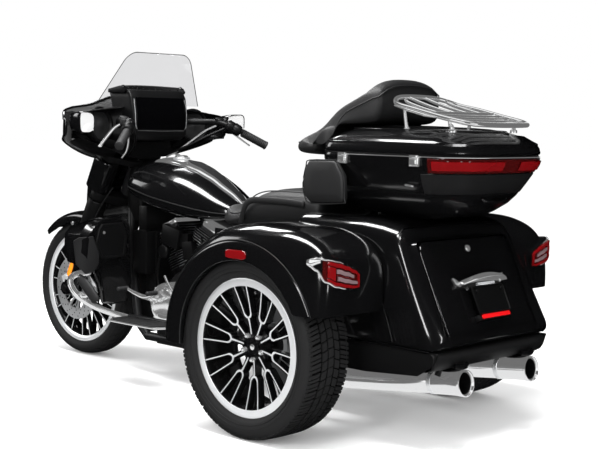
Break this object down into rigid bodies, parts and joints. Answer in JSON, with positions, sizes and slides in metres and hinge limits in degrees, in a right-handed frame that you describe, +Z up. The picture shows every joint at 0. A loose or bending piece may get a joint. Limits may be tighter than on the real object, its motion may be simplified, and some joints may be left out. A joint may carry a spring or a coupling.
{
  "type": "touring motor trike",
  "caption": "Touring motor trike with a single steered front wheel, a wide rear pair, a trunk between flared fenders, a top case with a rack and a fork-mounted fairing.",
  "frame": {"origin": "on the ground, in the middle of the length and width", "axes": "+X forward, +Y to the rider's left, +Z up"},
  "size_m": [2.6814, 1.39, 1.42],
  "materials": {
    "gloss_black": "gloss clear-coated black paint",
    "satin_black": "satin black moulding",
    "frame_black": "powder-coated black",
    "engine_black": "black wrinkle coat with machined fin edges",
    "chrome": "polished chrome",
    "machined_silver": "ground steel",
    "wheel_alloy": "machined silver over gloss black",
    "axle_grey": "satin grey paint",
    "tyre": "tread rubber",
    "belt_rubber": "toothed belt",
    "seat_vinyl": "black grained vinyl with stitched seams",
    "red_lens": "clear red lens",
    "lamp": "clear lamp glass",
    "screen": "clear moulded screen"
  },
  "bodies": {
    "chassis": {"frame": "frame_black", "rear_suspension": "frame_black", "rear_axle": "axle_grey", "drive_belt": "belt_rubber", "engine_crankcase": "engine_black", "engine_cylinders": "engine_black", "primary_cover": "chrome", "air_cleaner": "gloss_black", "exhaust_headers": "chrome", "mufflers": "chrome", "fuel_tank": "gloss_black", "tank_console": "chrome", "seat": "seat_vinyl", "trunk_body": "gloss_black", "rear_fenders": "gloss_black", "rear_valance": "satin_black", "tail_lights": "red_lens", "top_case": "gloss_black", "backrest_lower": "seat_vinyl", "lower_fairings": "satin_black", "engine_guard": "chrome", "side_covers": "gloss_black", "foot_controls": "chrome"},
    "front_end": {"fork": "satin_black", "front_fender": "gloss_black", "fairing_outer": "gloss_black", "fairing_inner": "satin_black", "windshield": "screen", "headlight": "lamp", "handlebar": "satin_black", "mirrors": "gloss_black", "front_calipers": "machined_silver"},
    "front_wheel": {"front_rim": "wheel_alloy", "front_tyre": "tyre", "front_discs": "machined_silver"},
    "rear_wheel_left": {"rear_rim_left": "wheel_alloy", "rear_tyre_left": "tyre"},
    "rear_wheel_right": {"rear_rim_right": "wheel_alloy", "rear_tyre_right": "tyre"},
    "trunk_door": {"trunk_door": "gloss_black"},
    "top_case_lid": {"top_case_lid": "gloss_black", "luggage_rack": "chrome", "backrest_upper": "seat_vinyl"},
    "fuel_door": {"fuel_door": "chrome"},
    "glovebox_door_left": {"glovebox_door_left": "satin_black"},
    "glovebox_door_right": {"glovebox_door_right": "satin_black"},
    "floorboard_left": {"floorboard_left": "satin_black"},
    "floorboard_right": {"floorboard_right": "satin_black"}
  },
  "joints": [
    {"name": "steering", "type": "hinge", "parent": "chassis", "child": "front_end", "pos_m": [0.70493, 0, 0.85], "axis": [-0.4384, 0, 0.8988], "range_deg": [-32, 32]},
    {"name": "front_wheel_spin", "type": "hinge", "parent": "front_end", "child": "front_wheel", "pos_m": [1.0195, 0, 0.319], "axis": [0, 1, 0], "continuous": true},
    {"name": "rear_wheel_left_spin", "type": "hinge", "parent": "chassis", "child": "rear_wheel_left", "pos_m": [-0.6885, 0.5575, 0.325], "axis": [0, 1, 0], "continuous": true},
    {"name": "rear_wheel_right_spin", "type": "hinge", "parent": "chassis", "child": "rear_wheel_right", "pos_m": [-0.6885, -0.5575, 0.325], "axis": [0, 1, 0], "continuous": true},
    {"name": "trunk_door_drop", "type": "hinge", "parent": "chassis", "child": "trunk_door", "pos_m": [-1.29454, 0, 0.38436], "axis": [0, -1, 0], "range_deg": [0, 85]},
    {"name": "top_case_lid_lift", "type": "hinge", "parent": "chassis", "child": "top_case_lid", "pos_m": [-0.9885, -0.306, 1.014], "axis": [1, 0, 0], "range_deg": [0, 75]},
    {"name": "fuel_door_lift", "type": "hinge", "parent": "chassis", "child": "fuel_door", "pos_m": [0.4125, 0, 0.961], "axis": [0, 1, 0], "range_deg": [0, 80]},
    {"name": "glovebox_left_drop", "type": "hinge", "parent": "chassis", "child": "glovebox_door_left", "pos_m": [0.5035, 0.28, 0.517], "axis": [0, -1, 0], "range_deg": [0, 75]},
    {"name": "glovebox_right_drop", "type": "hinge", "parent": "chassis", "child": "glovebox_door_right", "pos_m": [0.5035, -0.28, 0.517], "axis": [0, -1, 0], "range_deg": [0, 75]},
    {"name": "floorboard_left_fold", "type": "hinge", "parent": "chassis", "child": "floorboard_left", "pos_m": [0.2115, 0.244, 0.268], "axis": [1, 0, 0], "range_deg": [0, 50]},
    {"name": "floorboard_right_fold", "type": "hinge", "parent": "chassis", "child": "floorboard_right", "pos_m": [0.2115, -0.244, 0.268], "axis": [-1, 0, 0], "range_deg": [0, 50]}
  ]
}
